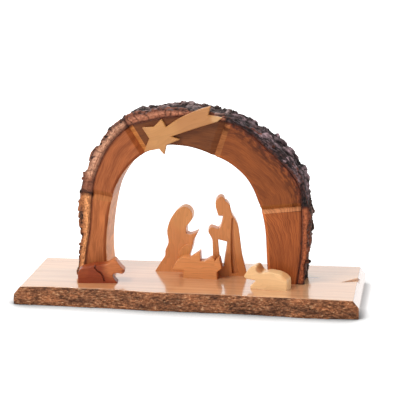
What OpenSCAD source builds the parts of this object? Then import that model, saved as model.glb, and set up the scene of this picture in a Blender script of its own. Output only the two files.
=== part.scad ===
/* [Base slab] */
// Length of the slab
base_length = 250; // [200:1:320]
// Depth of the slab over its bark, at the widest place
base_depth = 105; // [95:1:130]
// Thickness of the slab
base_thickness = 12.5; // [9:0.5:20]
// How much less far back the left end reaches than the right end
base_taper = 4; // [0:0.5:8]
// Thickness of the front bark along its top edge
base_bark = 2; // [1:0.25:4]
// Run of the sawn chamfer at both ends, along the slab
end_chamfer_run = 4.3; // [2:0.1:8]
// Drop of the sawn chamfer at both ends
end_chamfer_drop = 5.3; // [2:0.1:8]
// Length of the drying check in the right end
check_length = 15.5; // [5:0.5:25]
// Width of the drying check where it opens at the end
check_width = 16; // [4:0.5:20]
// Depth of the drying check
check_depth = 1.6; // [0.5:0.1:4]
// Distance of the drying check's tip in front of the slab's back edge
check_setback = 48.5; // [30:0.5:60]

/* [Arch] */
// Width of the arch over its bark
arch_width = 173; // [140:1:190]
// Height of the arch over the slab
arch_height = 127.5; // [100:0.5:160]
// Depth of the arch, from its front face to its back face
arch_depth = 34; // [26:1:44]
// Distance of the arch's front face behind the slab's foremost place
arch_setback = 45.5; // [38:0.5:50]
// Distance of the arch's middle to the right of the slab's middle
arch_shift = 0.5; // [-5:0.5:5]
// Thickness of the bark on the arch where it is thickest
arch_bark = 10.5; // [8:0.5:13]
// Height of the lumps on all bark
bark_relief = 0.8; // [0.2:0.1:1.2]
// Length of a plate of bark along the arch
plate_length = 17; // [12:0.5:26]
// Depth of the furrows between the plates where the bark is thickest
furrow_depth = 4.5; // [1:0.25:5]
// Width of the vee groove at the widest joint
groove_width = 8.5; // [4:0.5:10]
// Depth of the vee groove at the joints
groove_depth = 2.4; // [1:0.2:4]

/* [Dowels and screws] */
// Diameter of the dowel hidden in each joint
dowel_diameter = 6; // [4:0.5:8]
// Length of each dowel
dowel_length = 16; // [10:1:20]
// Gap between a dowel and the wall of its hole
dowel_clearance = 0.1; // [0.05:0.05:0.3]
// Glue space left past each end of a dowel
dowel_end_space = 0.5; // [0.2:0.1:1.5]
// Outer diameter of the screw thread
screw_diameter = 3.5; // [3:0.5:5]
// Length of the screws that hold the legs
screw_length = 30; // [24:1:40]
// Diameter of the countersunk screw head
screw_head = 7; // [6:0.5:9]
// Gap around the screw shank in the slab
screw_clearance = 0.4; // [0.2:0.1:0.8]
// How far the screw heads lie below the slab's underside
screw_recess = 0.6; // [0.3:0.1:1.5]
// Width of the slots in the screw heads
slot_width = 1; // [0.6:0.1:1.4]
// Depth of the slots in the screw heads
slot_depth = 1; // [0.5:0.1:1.5]

/* [Comet] */
// Width of the comet, from the star's left tip to the tail's end
comet_width = 58.5; // [40:0.5:70]
// Height of the comet, from the star's lowest tip to the tail's top tip
comet_height = 36.5; // [25:0.5:45]
// Thickness of the comet
comet_thickness = 3.5; // [2:0.5:6]
// Distance of the star's left tip to the left of the arch's middle
comet_left = 36; // [28:0.5:42]
// Height of the arch's top over the star's lowest tip
comet_drop = 33.5; // [28:0.5:38]

/* [Figures] */
// Thickness of the board that the figures and sheep are cut from
figure_stock = 11; // [8:0.5:14]
// Thickness of the manger
manger_stock = 9; // [7:0.5:12]
// Width of the kneeling figure
kneeling_width = 32.5; // [26:0.5:38]
// Height of the kneeling figure
kneeling_height = 50; // [40:0.5:60]
// Width of the standing figure over its hand and robe
standing_width = 28.5; // [24:0.5:32]
// Height of the standing figure
standing_height = 60; // [50:0.5:70]
// Width of the manger
manger_width = 36.5; // [30:0.5:42]
// Height of the manger to the tip of its highest straw
manger_height = 21; // [16:0.5:26]
// Length of the left sheep
left_sheep_length = 34; // [28:0.5:40]
// Height of the left sheep
left_sheep_height = 18; // [14:0.5:22]
// Length of the right sheep
right_sheep_length = 32.5; // [28:0.5:38]
// Height of the right sheep
right_sheep_height = 17; // [14:0.5:22]
// Width of the carved grooves
carve_width = 1.4; // [0.8:0.1:2]
// Depth of the carved grooves
carve_depth = 2; // [1:0.1:3]
// Depth to which the kneeling figure's lap is cut back
lap_depth = 0.9; // [0.4:0.1:2]

/* [Places of the figures] */
// Left edge of the kneeling figure, to the left of the slab's middle
kneeling_left = 31; // [28:0.5:36]
// Front face of the kneeling figure, behind the arch's front face
kneeling_setback = 25; // [23:0.5:28]
// Left edge of the standing figure, to the right of the slab's middle
standing_left = 10.5; // [6:0.5:14]
// Turn of the standing figure, in degrees
standing_turn = 8; // [0:1:12]
// Left edge of the manger, to the left of the slab's middle
manger_left = 15; // [10:0.5:20]
// Front face of the manger, behind the arch's front face
manger_setback = 6.5; // [4:0.5:8]
// Gap between the manger's back and the standing figure
manger_gap = 0.6; // [0.3:0.1:2]
// Front left corner of the left sheep, to the left of the slab's middle
left_sheep_left = 81; // [74:0.5:90]
// Front left corner of the left sheep, in front of the arch's front face
left_sheep_forward = 18; // [16:0.5:26]
// Turn of the left sheep, in degrees
left_sheep_turn = 7; // [0:1:15]
// Front left corner of the right sheep, to the right of the slab's middle
right_sheep_left = 40.5; // [34:0.5:48]
// Front left corner of the right sheep, in front of the arch's front face
right_sheep_forward = 14; // [12:0.5:20]
// Turn of the right sheep, in degrees
right_sheep_turn = -11; // [-15:1:0]

/* [Smoothness] */
// Straight pieces in each round stretch of an outline
outline_steps = 4; // [2:1:8]
// Straight pieces between two stations of the arch
arch_steps = 6; // [3:1:8]
// Rows of bark plates from the front to the back of the arch
plate_rows = 3; // [2:1:4]
// Lumps along the bark of the slab
base_bark_steps = 60; // [30:2:90]

/* [Hidden] */
$fn = 48;

// How far a cut runs past the face that it opens
overrun = base_thickness / 10;
base_front = -base_depth / 2;
base_back = base_depth / 2;
arch_front = base_front + arch_setback;
arch_back = arch_front + arch_depth;
arch_middle = (arch_front + arch_back) / 2;
screw_head_depth = (screw_head - screw_diameter) / 2;

// Places along the slab as shares of its length, each with the distance of the live edge behind the
// foremost place as a share of the slab's depth: first along the top, then along the bottom
top_edge_shares = [[-0.5, 0.093], [-0.385, 0.121], [-0.3, 0.111], [-0.2, 0.113], [-0.1, 0.072], [0.03, 0.076],
    [0.13, 0.08], [0.22, 0.06], [0.29, 0.056], [0.36, 0.049], [0.43, 0.04], [0.5, 0.03]];
bottom_edge_shares = [[-0.5, 0.09], [-0.385, 0.081], [-0.3, 0.074], [-0.2, 0.063], [-0.1, 0.048],
    [0.03, 0.05], [0.13, 0.047], [0.22, 0.038], [0.29, 0.024], [0.36, 0.004], [0.43, 0.015], [0.5, 0.026]];
// The drying check as shares of its length and width, from its tip
check_shares = [[0, 0], [1, 0.35], [1, 1.35]];

// Stations along the arch from the left foot to the right foot: the inner face's place across and up, then
// the wood's outer face, as shares of half the arch's width and of its height
inner_shares = [[-0.717, 0], [-0.738, 0.137], [-0.728, 0.294], [-0.682, 0.475], [-0.624, 0.577],
    [-0.526, 0.67], [-0.399, 0.741], [-0.225, 0.785], [-0.098, 0.787], [0.029, 0.773], [0.187, 0.735],
    [0.318, 0.692], [0.439, 0.624], [0.514, 0.549], [0.561, 0.471], [0.587, 0.429], [0.621, 0.302],
    [0.634, 0.153], [0.647, 0]];
outer_shares = [[-0.931, 0], [-0.91, 0.137], [-0.875, 0.294], [-0.853, 0.494], [-0.815, 0.616],
    [-0.705, 0.773], [-0.538, 0.89], [-0.364, 0.929], [-0.168, 0.953], [0.029, 0.959], [0.283, 0.93],
    [0.462, 0.881], [0.647, 0.769], [0.809, 0.665], [0.905, 0.561], [0.922, 0.455], [0.928, 0.298],
    [0.921, 0.153], [0.89, 0]];
// Thickness of the bark at each station as a share of its greatest thickness
bark_shares = [0.54, 0.59, 0.74, 1, 0.87, 0.82, 0.72, 0.74, 0.6, 0.43, 0.33, 0.3, 0.68, 0.57, 0.4, 0.5,
    0.6, 0.46, 0.56];
// Stations at which the arch is jointed, and the width of each joint's groove as a share of the widest
joint_stations = [3, 6, 10, 15];
groove_shares = [0.85, 0.85, 1, 0.65];
last_station = len(inner_shares) - 1;

// Outlines as shares of a piece's width and height; a third value of 1 rounds the outline there
comet_shares = [[0, 0.544, 0], [0.145, 0.558, 0], [0.246, 0.723, 0], [0.303, 0.563, 0], [0.465, 0.742, 1],
    [0.7, 0.92, 1], [0.856, 1, 0], [0.827, 0.821, 0], [1, 0.772, 0], [0.938, 0.69, 0], [0.643, 0.53, 1],
    [0.371, 0.376, 0], [0.48, 0.319, 0], [0.309, 0.203, 0], [0.28, 0, 0], [0.214, 0.118, 0],
    [0.024, 0.055, 0], [0.091, 0.321, 0]];
kneeling_shares = [[0, 0, 0], [0.15, 0.16, 1], [0.23, 0.24, 1], [0.24, 0.33, 1], [0.31, 0.45, 1],
    [0.28, 0.62, 1], [0.335, 0.765, 1], [0.435, 0.885, 1], [0.55, 0.965, 1], [0.675, 1, 1], [0.8, 0.97, 1],
    [0.87, 0.89, 1], [0.855, 0.81, 1], [0.78, 0.74, 1], [0.725, 0.69, 1], [0.73, 0.59, 0], [0.815, 0.578, 1],
    [1, 0.627, 0], [0.9, 0.49, 1], [0.86, 0.36, 1], [0.8, 0.24, 1], [0.78, 0, 0]];
kneeling_lap_shares = [[0.54, 0.16, 0], [0.555, 0.29, 1], [0.605, 0.36, 1], [0.675, 0.41, 1],
    [0.756, 0.437, 1], [0.85, 0.44, 1], [1.05, 0.4, 0], [1.05, 0.16, 0]];
standing_shares = [[0.135, 0, 0], [0.117, 0.25, 1], [0.105, 0.455, 0], [0.063, 0.5, 1], [0, 0.557, 1],
    [0.025, 0.598, 1], [0.09, 0.617, 1], [0.19, 0.603, 1], [0.265, 0.588, 0], [0.32, 0.625, 1],
    [0.35, 0.67, 1], [0.382, 0.757, 0], [0.256, 0.76, 0], [0.219, 0.82, 1], [0.186, 0.88, 1], [0.2, 0.95, 1],
    [0.307, 1, 1], [0.409, 0.985, 1], [0.44, 0.945, 0], [0.5, 0.925, 1], [0.56, 0.885, 1], [0.58, 0.83, 1],
    [0.625, 0.77, 1], [0.715, 0.7, 1], [0.775, 0.627, 1], [0.815, 0.51, 1], [0.855, 0.36, 1],
    [0.89, 0.245, 1], [0.93, 0.17, 1], [1, 0.03, 1], [0.98, 0, 0]];
staff_gap_shares = [[0.254, 0.462, 0], [0.493, 0.432, 0], [0.468, 0.333, 1], [0.4, 0.12, 0], [0.34, 0.12, 0],
    [0.285, 0.29, 1]];
robe_fold_shares = [[0.625, 0.735], [0.61, 0.65], [0.6, 0.5], [0.6, 0.33], [0.61, 0.18], [0.64, 0.03]];
manger_shares = [[0.223, 0, 0], [0.223, 0.275, 0], [0, 0.305, 0], [0.057, 0.53, 1], [0.155, 0.707, 1],
    [0.262, 0.765, 1], [0.36, 0.735, 0], [0.561, 1, 0], [0.575, 0.64, 0], [0.67, 0.66, 1], [0.768, 0.76, 1],
    [0.845, 0.736, 1], [0.861, 0.66, 0], [0.954, 0.79, 0], [1, 0.394, 0], [0.905, 0.245, 0], [0.916, 0, 0]];
left_sheep_shares = [[0, 0, 0], [0, 0.4, 1], [0.045, 0.56, 1], [0.12, 0.64, 1], [0.22, 0.675, 1],
    [0.375, 0.76, 1], [0.465, 0.75, 1], [0.63, 0.8, 1], [0.73, 0.89, 1], [0.796, 1, 0], [0.84, 0.92, 1],
    [0.92, 0.69, 1], [1, 0.54, 1], [0.995, 0.45, 1], [0.945, 0.385, 1], [0.855, 0.415, 1], [0.765, 0.385, 1],
    [0.75, 0.3, 1], [0.79, 0.14, 1], [0.855, 0, 0]];
left_sheep_fold_shares = [[0.385, 0.8], [0.37, 0.63], [0.42, 0.515], [0.5, 0.415], [0.545, 0.28],
    [0.575, 0.07]];
right_sheep_shares = [[0.145, 0, 0], [0.143, 0.09, 0], [0.205, 0.215, 1], [0.262, 0.34, 1], [0.17, 0.365, 1],
    [0.035, 0.405, 1], [0, 0.51, 1], [0.055, 0.69, 1], [0.145, 0.905, 1], [0.25, 1, 1], [0.305, 0.97, 0],
    [0.385, 0.755, 1], [0.455, 0.726, 1], [0.575, 0.76, 1], [0.775, 0.72, 1], [0.91, 0.61, 1],
    [0.98, 0.48, 1], [1, 0.35, 1], [1, 0, 0]];

// Curves and outlines
function unit(v) = v / norm(v);
function flat(p) = [p[0], p[1]];
function hermite(a, b, lead, trail, t) = a * (2 * pow(t, 3) - 3 * pow(t, 2) + 1)
    + lead * (pow(t, 3) - 2 * pow(t, 2) + t) + b * (3 * pow(t, 2) - 2 * pow(t, 3))
    + trail * (pow(t, 3) - pow(t, 2));
function outline_tangent(points, i, chord) = points[i][2] == 0 ? chord
    : (flat(points[(i + 1) % len(points)]) - flat(points[(i + len(points) - 1) % len(points)])) / 2;
function outline_stretch(points, i, j, chord) = points[i][2] + points[j][2] == 0 ? [flat(points[i])]
    : [for (k = [0:outline_steps - 1]) hermite(flat(points[i]), flat(points[j]),
        outline_tangent(points, i, chord), outline_tangent(points, j, chord), k / outline_steps)];
function closed_outline(points) = [for (i = [0:len(points) - 1]) let (j = (i + 1) % len(points))
    each outline_stretch(points, i, j, flat(points[j]) - flat(points[i]))];
function sized(shares, width, height) = [for (s = shares) [s[0] * width, s[1] * height, s[2]]];
function station_tangent(points, i) =
    (points[min(i + 1, len(points) - 1)] - points[max(i - 1, 0)]) / (i == 0 || i == len(points) - 1 ? 1 : 2);
function on_curve(points, s) = let (i = min(floor(s), len(points) - 2))
    hermite(points[i], points[i + 1], station_tangent(points, i), station_tangent(points, i + 1), s - i);

// A strip as wide as a carved groove along a path of places
function path_normal(path, i) = let (run = path[min(i + 1, len(path) - 1)] - path[max(i - 1, 0)])
    unit([-run[1], run[0]]);
function strip(path, width) = concat(
    [for (i = [0:len(path) - 1]) path[i] + path_normal(path, i) * width / 2],
    [for (i = [len(path) - 1:-1:0]) path[i] - path_normal(path, i) * width / 2]);

// Arch stations at real size, seen from the front
function arch_place(share) = [arch_shift + share[0] * arch_width / 2,
    base_thickness + share[1] * arch_height];
inner_places = [for (s = inner_shares) arch_place(s)];
outer_places = [for (s = outer_shares) arch_place(s)];
function station_range(from, to) = [for (k = [0:(to - from) * arch_steps]) from + k / arch_steps];
function inner_at(s) = on_curve(inner_places, s);
function outer_at(s) = on_curve(outer_places, s);
function outward_at(s) = unit(outer_at(s) - inner_at(s));

// Rough bark: waves of different lengths along and across the strip
function lumps(along, across) = bark_relief * (sin(along * 197 + across * 143) * 0.5
    + sin(along * 431 - across * 89) * 0.3 + sin(along * 83 + across * 311) * 0.2);
// Distance along the arch's outer face at each station
station_runs = [for (i = 0, run = 0; i <= last_station;
    run = run + (i < last_station ? norm(outer_places[i + 1] - outer_places[i]) : 0), i = i + 1) [i, run]];
// Plates of bark, three grid rows deep, of uneven length; 0 in a furrow, 1 in the middle of a plate
bark_rows = 3 * plate_rows - 2;
function plate_row(row) = floor((row + 1) / 3);
function plate_place(s, row) = lookup(s, station_runs) / plate_length + plate_row(row) * 0.38
    + 0.25 * sin(s * 97 + plate_row(row) * 130);
function between_furrows(place) = pow(abs(sin(180 * place)), 0.7);
// The sawn rows in front and behind keep most of the bark's thickness where a furrow crosses them
sawn_share = 0.65;
function plate_form(s, row) = let (plate = between_furrows(plate_place(s, row)))
    row == 0 || row == bark_rows ? sawn_share + (1 - sawn_share) * plate
    : plate * between_furrows((row + 1) / 3);
function bark_thickness(s, row) = on_curve(bark_shares, s)
    * (arch_bark - furrow_depth * (1 - plate_form(s, row))) + lumps(s, row);
function bark_at(s, row) = let (p = outer_at(s) + outward_at(s) * bark_thickness(s, row))
    [p[0], arch_front + arch_depth * row / bark_rows, p[1]];

// Live edge of the slab
function top_edge(x) = base_front + base_depth * lookup(x / base_length, top_edge_shares);
function bottom_edge(x) = base_front + base_depth * lookup(x / base_length, bottom_edge_shares);
function sapwood_edge(x) = top_edge(x) + base_bark;
function slab_top(x) = base_thickness
    - end_chamfer_drop * max(0, (abs(x) - base_length / 2 + end_chamfer_run) / end_chamfer_run);
base_bark_rows = 4;
// Waves of lumps along the slab's bark
base_bark_waves = 50;
inner_length = base_length / 2 - end_chamfer_run;
edge_places = concat([-base_length / 2],
    [for (k = [0:base_bark_steps]) -inner_length + 2 * inner_length * k / base_bark_steps],
    [base_length / 2]);
function base_bark_at(x, row) = let (drop = row / base_bark_rows,
    lump = row == 0 ? 0 : bark_relief * (1 + lumps(x / base_length * base_bark_waves, row) / bark_relief) / 2)
    [x, max(base_front, top_edge(x) * (1 - drop) + bottom_edge(x) * drop - lump), slab_top(x) * (1 - drop)];

// A closed skin: a grid of outer places over an inner face that runs between two lines
module skin_solid(outer, line_a, line_b) {
    n = len(outer) - 1;
    m = len(outer[0]) - 1;
    a0 = (n + 1) * (m + 1);
    b0 = a0 + n + 1;
    grid = [for (u = [0:n - 1], v = [0:m - 1]) let (i = u * (m + 1) + v) each
        [[i, i + m + 1, i + m + 2], [i, i + m + 2, i + 1]]];
    side_a = [for (u = [0:n - 1]) let (i = u * (m + 1)) each
        [[i, a0 + u, a0 + u + 1], [i, a0 + u + 1, i + m + 1]]];
    side_b = [for (u = [0:n - 1]) let (i = u * (m + 1) + m) each
        [[i, i + m + 1, b0 + u + 1], [i, b0 + u + 1, b0 + u]]];
    inner = [for (u = [0:n - 1]) each [[a0 + u, b0 + u, b0 + u + 1], [a0 + u, b0 + u + 1, a0 + u + 1]]];
    first = concat([for (v = [0:m - 1]) [a0, v, v + 1]], [[a0, m, b0]]);
    last = concat([for (v = [0:m - 1]) let (i = n * (m + 1) + v) [a0 + n, i + 1, i]],
        [[a0 + n, b0 + n, n * (m + 1) + m]]);
    polyhedron(points = concat([for (line = outer) each line], line_a, line_b),
        faces = concat(grid, side_a, side_b, inner, first, last));
}

// An outline seen from the front, thickened backwards from y = 0
module cut_board(outline, thickness) {
    translate([0, thickness, 0]) rotate([90, 0, 0]) linear_extrude(thickness) polygon(outline);
}

module carved_line(shares, width, height) {
    path = [for (s = shares) [s[0] * width, s[1] * height]];
    translate([0, -overrun, 0]) cut_board(strip(path, carve_width), carve_depth + overrun);
}

// Joints of the arch
function joint_angle(s) = let (d = outward_at(s)) atan2(d[1], d[0]);
function joint_middle(s) = (inner_at(s) + outer_at(s)) / 2;

module joint_groove(k) {
    s = joint_stations[k];
    half = groove_width * groove_shares[k] / 2;
    start = inner_at(s) - outward_at(s) * overrun;
    run = norm(outer_at(s) - inner_at(s)) + 2 * overrun;
    vee = [[-half, -overrun], [half, -overrun], [half, 0], [0, groove_depth], [-half, 0]];
    translate([start[0], arch_front, start[1]]) rotate([0, 90 - joint_angle(s), 0]) linear_extrude(run)
        polygon(vee);
}

module joint_dowel(k, gap, end_space) {
    s = joint_stations[k];
    p = joint_middle(s);
    translate([p[0], arch_middle, p[1]]) rotate([0, 180 - joint_angle(s), 0])
        cylinder(h = dowel_length + 2 * end_space, r = dowel_diameter / 2 + gap, center = true);
}

module leg_screw_hole(side) {
    p = joint_middle(side == 0 ? 0 : last_station);
    translate([p[0], arch_middle, -overrun])
        cylinder(h = screw_recess + screw_length + overrun, r = screw_diameter / 2);
}

// One wooden length of the arch between two stations, with its grooves, dowel holes and screw hole
module arch_length(from, to, joints) {
    outline = concat([for (s = station_range(from, to)) inner_at(s)],
        [for (s = station_range(last_station - to, last_station - from)) outer_at(last_station - s)]);
    difference() {
        translate([0, arch_front, 0]) cut_board(outline, arch_depth);
        for (k = joints) joint_groove(k);
        for (k = joints) joint_dowel(k, dowel_clearance, dowel_end_space);
        if (from == 0) leg_screw_hole(0);
        if (to == last_station) leg_screw_hole(1);
    }
}

module bark_length(from, to) {
    range = station_range(from, to);
    outer = [for (s = range) [for (row = [0:bark_rows]) bark_at(s, row)]];
    front_line = [for (s = range) [outer_at(s)[0], arch_front, outer_at(s)[1]]];
    back_line = [for (s = range) [outer_at(s)[0], arch_back, outer_at(s)[1]]];
    skin_solid(outer, front_line, back_line);
}

// Pieces of the slab
module slab_outline() {
    back = [[base_length / 2, base_back], [-base_length / 2, base_back - base_taper]];
    polygon(concat([for (x = edge_places) [x, sapwood_edge(x)]], back));
}

module slab_profile() {
    half = base_length / 2;
    shoulder = base_thickness - end_chamfer_drop;
    polygon([[-half, 0], [half, 0], [half, shoulder], [half - end_chamfer_run, base_thickness],
        [end_chamfer_run - half, base_thickness], [-half, shoulder]]);
}

module base_board() {
    color("burlywood") difference() {
        intersection() {
            linear_extrude(base_thickness) slab_outline();
            translate([0, base_back, 0]) rotate([90, 0, 0]) linear_extrude(base_depth) slab_profile();
        }
        for (s = [0, last_station]) translate([joint_middle(s)[0], arch_middle, 0]) {
            translate([0, 0, -overrun])
                cylinder(h = base_thickness + 2 * overrun, r = screw_diameter / 2 + screw_clearance);
            translate([0, 0, -overrun]) cylinder(h = screw_recess + overrun, r = screw_head / 2);
            translate([0, 0, screw_recess])
                cylinder(h = screw_head_depth, r1 = screw_head / 2, r2 = screw_diameter / 2);
        }
        translate([base_length / 2 - check_length, base_back - check_setback, base_thickness - check_depth])
            linear_extrude(check_depth + overrun)
            polygon([for (s = check_shares) [s[0] * (check_length + overrun), s[1] * check_width]]);
    }
}

module base_bark() {
    outer = [for (x = edge_places) [for (row = [0:base_bark_rows]) base_bark_at(x, row)]];
    top_line = [for (x = edge_places) [x, sapwood_edge(x), slab_top(x)]];
    bottom_line = [for (x = edge_places) [x, sapwood_edge(x), 0]];
    color("saddlebrown") skin_solid(outer, top_line, bottom_line);
}

// Pieces of the arch
module arch_left_leg() { color("peru") arch_length(0, joint_stations[0], [0]); }
module arch_left_haunch() { color("sienna") arch_length(joint_stations[0], joint_stations[1], [0, 1]); }
module arch_crown() { color("peru") arch_length(joint_stations[1], joint_stations[2], [1, 2]); }
module arch_right_haunch() { color("sienna") arch_length(joint_stations[2], joint_stations[3], [2, 3]); }
module arch_right_leg() { color("chocolate") arch_length(joint_stations[3], last_station, [3]); }
module bark_left_leg() { color("tan") bark_length(0, joint_stations[0]); }
module bark_left_haunch() { color("rosybrown") bark_length(joint_stations[0], joint_stations[1]); }
module bark_crown() { color("rosybrown") bark_length(joint_stations[1], joint_stations[2]); }
module bark_right_haunch() { color("dimgray") bark_length(joint_stations[2], joint_stations[3]); }
module bark_right_leg() { color("dimgray") bark_length(joint_stations[3], last_station); }

// Hidden fasteners
module joint_dowels() {
    color("wheat") for (k = [0:len(joint_stations) - 1]) joint_dowel(k, 0, 0);
}

module leg_screw() {
    tip_length = screw_diameter;
    difference() {
        union() {
            cylinder(h = screw_head_depth, r1 = screw_head / 2, r2 = screw_diameter / 2);
            cylinder(h = screw_length - tip_length, r = screw_diameter / 2);
            translate([0, 0, screw_length - tip_length])
                cylinder(h = tip_length, r1 = screw_diameter / 2, r2 = 0);
        }
        for (turn = [0, 90]) rotate([0, 0, turn])
            translate([-screw_diameter / 2, -slot_width / 2, -overrun])
            cube([screw_diameter, slot_width, slot_depth + overrun]);
    }
}

module leg_screws() {
    color("silver") for (s = [0, last_station])
        translate([joint_middle(s)[0], arch_middle, screw_recess]) leg_screw();
}

// Pieces cut from board
module comet() {
    bottom = base_thickness + arch_height - comet_drop;
    color("burlywood") translate([arch_shift - comet_left, arch_front - comet_thickness, bottom])
        cut_board(closed_outline(sized(comet_shares, comet_width, comet_height)), comet_thickness);
}

module kneeling_figure() {
    color("peru") translate([-kneeling_left, arch_front + kneeling_setback, base_thickness]) difference() {
        cut_board(closed_outline(sized(kneeling_shares, kneeling_width, kneeling_height)), figure_stock);
        translate([0, -overrun, 0]) cut_board(
            closed_outline(sized(kneeling_lap_shares, kneeling_width, kneeling_height)), lap_depth + overrun);
    }
}

module standing_figure() {
    front = arch_front + manger_setback + manger_stock + manger_gap;
    color("peru") translate([standing_left, front, base_thickness]) rotate([0, 0, standing_turn])
    difference() {
        cut_board(closed_outline(sized(standing_shares, standing_width, standing_height)), figure_stock);
        translate([0, -overrun, 0]) cut_board(
            closed_outline(sized(staff_gap_shares, standing_width, standing_height)),
            figure_stock + 2 * overrun);
        carved_line(robe_fold_shares, standing_width, standing_height);
    }
}

module manger() {
    color("sandybrown") translate([-manger_left, arch_front + manger_setback, base_thickness])
        cut_board(closed_outline(sized(manger_shares, manger_width, manger_height)), manger_stock);
}

module sheep_left() {
    color("sienna") translate([-left_sheep_left, arch_front - left_sheep_forward, base_thickness])
        rotate([0, 0, left_sheep_turn]) difference() {
            cut_board(closed_outline(sized(left_sheep_shares, left_sheep_length, left_sheep_height)),
                figure_stock);
            carved_line(left_sheep_fold_shares, left_sheep_length, left_sheep_height);
        }
}

module sheep_right() {
    color("burlywood") translate([right_sheep_left, arch_front - right_sheep_forward, base_thickness])
        rotate([0, 0, right_sheep_turn])
        cut_board(closed_outline(sized(right_sheep_shares, right_sheep_length, right_sheep_height)),
            figure_stock);
}

base_board();
base_bark();
arch_left_leg();
arch_left_haunch();
arch_crown();
arch_right_haunch();
arch_right_leg();
bark_left_leg();
bark_left_haunch();
bark_crown();
bark_right_haunch();
bark_right_leg();
joint_dowels();
leg_screws();
comet();
kneeling_figure();
standing_figure();
manger();
sheep_left();
sheep_right();
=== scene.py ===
"""Looks of a wooden nativity stable: a bark-edged arch on a live-edge slab, with sawn figures and sheep.

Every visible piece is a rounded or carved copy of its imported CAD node, in metres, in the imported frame.
"""

import collections
import math

import bmesh
import bpy
import numpy as np
from mathutils import Matrix, Vector, noise


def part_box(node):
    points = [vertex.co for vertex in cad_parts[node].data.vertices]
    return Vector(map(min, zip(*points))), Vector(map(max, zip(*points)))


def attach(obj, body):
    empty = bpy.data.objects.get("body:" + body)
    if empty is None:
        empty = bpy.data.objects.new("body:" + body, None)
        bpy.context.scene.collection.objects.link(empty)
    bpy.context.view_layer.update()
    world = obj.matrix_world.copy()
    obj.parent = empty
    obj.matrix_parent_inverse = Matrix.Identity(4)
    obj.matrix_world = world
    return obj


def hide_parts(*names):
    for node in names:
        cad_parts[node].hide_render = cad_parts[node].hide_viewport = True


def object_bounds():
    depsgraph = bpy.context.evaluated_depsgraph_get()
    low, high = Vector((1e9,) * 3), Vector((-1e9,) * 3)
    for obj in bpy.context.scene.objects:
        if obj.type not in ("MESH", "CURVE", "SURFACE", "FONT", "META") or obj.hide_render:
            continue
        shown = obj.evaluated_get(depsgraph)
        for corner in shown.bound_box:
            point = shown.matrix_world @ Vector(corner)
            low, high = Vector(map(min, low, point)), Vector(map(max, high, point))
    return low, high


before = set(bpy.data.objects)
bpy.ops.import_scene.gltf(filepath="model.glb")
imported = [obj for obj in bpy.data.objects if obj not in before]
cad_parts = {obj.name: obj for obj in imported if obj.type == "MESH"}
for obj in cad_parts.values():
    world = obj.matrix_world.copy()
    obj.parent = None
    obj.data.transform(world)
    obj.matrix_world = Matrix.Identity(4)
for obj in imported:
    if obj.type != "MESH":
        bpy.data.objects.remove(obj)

bl_info = {
    "name": "Wooden nativity stable",
    "version": (1, 0, 0),
    "blender": (4, 5, 0),
    "location": "View3D > Sidebar > Stable",
    "description": "Builds the looks of a bark-edged wooden nativity stable around its CAD frame",
    "category": "Object",
}

MM = 0.001
# How near two vertices are merged, and how near a vertex lies to a plane that it counts as lying on it
MERGED, TOUCHING = 0.005 * MM, 0.01 * MM
# Faces that turn less than the first angle are one flat, edges that turn more than the second are rounded, and
# the shading breaks at edges that turn more than the third
FLAT_ANGLE, SHARP_ANGLE, SHADING_ANGLE = (math.radians(degrees) for degrees in (0.4, 28, 35))

CAD_BOX = [list(corner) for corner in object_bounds()]
ARCH_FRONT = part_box("arch_crown")[0].y
ARCH_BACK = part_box("arch_crown")[1].y
SLAB_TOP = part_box("base_board")[1].z
# How far from the middle the chamfer of the slab's ends begins
CHAMFER_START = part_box("base_board")[1].x - 4.3 * MM
SLAB_BARK_GRID = 0.55 * MM
# Spots in the slab's tone: shares of its length and thickness, reach in mm, tint, share of its depth from the
# front.
# The whiter spot at the left end is a painted reflection. The lighter orange one in front under the left sheep is
# partly the slab's own colour and partly a painted reflection. The dark brown one lies beside the right leg's
# foot.
SLAB_SPOTS_AND_REFLECTIONS = [(0.036, 1.0, 26.0, (1.0, 1.1, 1.25), 0.446),
               (0.848, 1.0, 3.2, (0.55, 0.42, 0.36), 0.625),
               (0.236, 1.0, 9.0, (1.12, 1.03, 0.9), 0.176),
               (0.354, 1.0, 12.0, (0.92, 0.92, 0.96), 0.393)]

# The arch's width, its height over the slab, and how far its middle lies to the right of the slab's middle
ARCH_WIDTH, ARCH_HEIGHT, ARCH_SHIFT = 173.0 * MM, 127.5 * MM, 0.5 * MM
# Stations along the arch from the left foot to the right foot: its inner edge, then its outer wooden edge, as
# shares of half the width and of the height
INNER_SHARES = [
    (-0.717, 0), (-0.738, 0.137), (-0.728, 0.294), (-0.682, 0.475), (-0.624, 0.577), (-0.526, 0.67),
    (-0.399, 0.741), (-0.225, 0.785), (-0.098, 0.787), (0.029, 0.773), (0.187, 0.735), (0.318, 0.692),
    (0.439, 0.624), (0.514, 0.549), (0.561, 0.471), (0.587, 0.429), (0.621, 0.302), (0.634, 0.153), (0.647, 0)]
OUTER_SHARES = [
    (-0.931, 0), (-0.91, 0.137), (-0.875, 0.294), (-0.853, 0.494), (-0.815, 0.616), (-0.705, 0.773),
    (-0.538, 0.89), (-0.364, 0.929), (-0.168, 0.953), (0.029, 0.959), (0.283, 0.93), (0.462, 0.881),
    (0.647, 0.769), (0.809, 0.665), (0.905, 0.561), (0.922, 0.455), (0.928, 0.298), (0.921, 0.153), (0.89, 0)]
CURVE_STEPS = 24


def linear(hex_colour):
    """An sRGB hex colour as linear red, green and blue, with alpha 1."""
    parts = [int(hex_colour[k:k + 2], 16) / 255 for k in (1, 3, 5)]
    return tuple(c / 12.92 if c <= 0.04045 else ((c + 0.055) / 1.055) ** 2.4 for c in parts) + (1.0,)


# ---- sizes and colours that a user would change

def size_prop(name, description, default_mm):
    return bpy.props.FloatProperty(name=name, description=description, default=default_mm * MM, min=0.0,
                                   subtype="DISTANCE", unit="LENGTH", precision=4)


def colour_prop(name, description, hex_colour):
    return bpy.props.FloatVectorProperty(name=name, description=description, size=4, min=0.0, max=1.0,
                                         default=linear(hex_colour), subtype="COLOR")


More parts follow.
